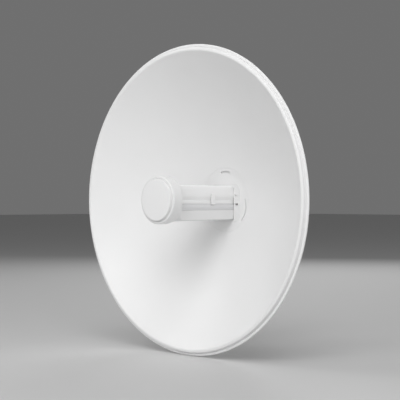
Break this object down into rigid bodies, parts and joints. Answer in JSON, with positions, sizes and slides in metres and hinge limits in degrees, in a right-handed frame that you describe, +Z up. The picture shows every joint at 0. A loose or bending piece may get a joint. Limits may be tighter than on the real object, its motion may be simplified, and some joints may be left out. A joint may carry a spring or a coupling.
{
  "type": "wireless bridge dish antenna",
  "caption": "White dish antenna for a point-to-point wireless link, with a feed tube through its centre and a tilting pole mount.",
  "frame": {"origin": "middle of the flat rear face of the pole bracket's web, where the pole bears on it", "axes": "+Z up, -Y the way that the dish looks, +X on the right of someone who faces the dish"},
  "size_m": [0.42, 0.2754, 0.42],
  "materials": {
    "dish_paint": "satin white powder coat",
    "white_plastic": "fine satin moulded plastic",
    "inner_plastic": "matte moulded plastic",
    "bracket_paint": "light grey powder coat",
    "zinc_steel": "zinc plated",
    "socket_metal": "bright plated sheet"
  },
  "bodies": {
    "pole_mount": {"pole_bracket": "bracket_paint", "pivot_bolt_left": "zinc_steel", "pivot_bolt_right": "zinc_steel", "pivot_nut_left": "zinc_steel", "pivot_nut_right": "zinc_steel", "lock_bolt_left": "zinc_steel", "lock_bolt_right": "zinc_steel", "lock_nut_left": "zinc_steel", "lock_nut_right": "zinc_steel", "pole_clamp": "bracket_paint", "clamp_bolt_left": "zinc_steel", "clamp_bolt_right": "zinc_steel", "clamp_nut_left": "zinc_steel", "clamp_nut_right": "zinc_steel"},
    "dish_head": {"dish_reflector": "dish_paint", "hub_front_plate": "white_plastic", "hub_ring": "white_plastic", "feed_core": "inner_plastic", "feed_upper_shell": "white_plastic", "feed_lower_shell": "white_plastic", "feed_rail_left": "inner_plastic", "feed_rail_right": "inner_plastic", "feed_clip_left": "white_plastic", "feed_clip_right": "white_plastic", "feed_root_flange": "white_plastic", "feed_collar": "white_plastic", "feed_cap": "white_plastic", "rear_housing": "white_plastic", "port_cover": "white_plastic", "network_socket": "socket_metal", "tilt_bracket": "bracket_paint", "stud_nut_upper_left": "zinc_steel", "stud_nut_upper_right": "zinc_steel", "stud_nut_lower_left": "zinc_steel", "stud_nut_lower_right": "zinc_steel"}
  },
  "joints": [
    {"name": "tilt", "type": "hinge", "parent": "pole_mount", "child": "dish_head", "pos_m": [0, -0.038, 0], "axis": [-1, 0, 0], "range_deg": [-20, 20]}
  ]
}
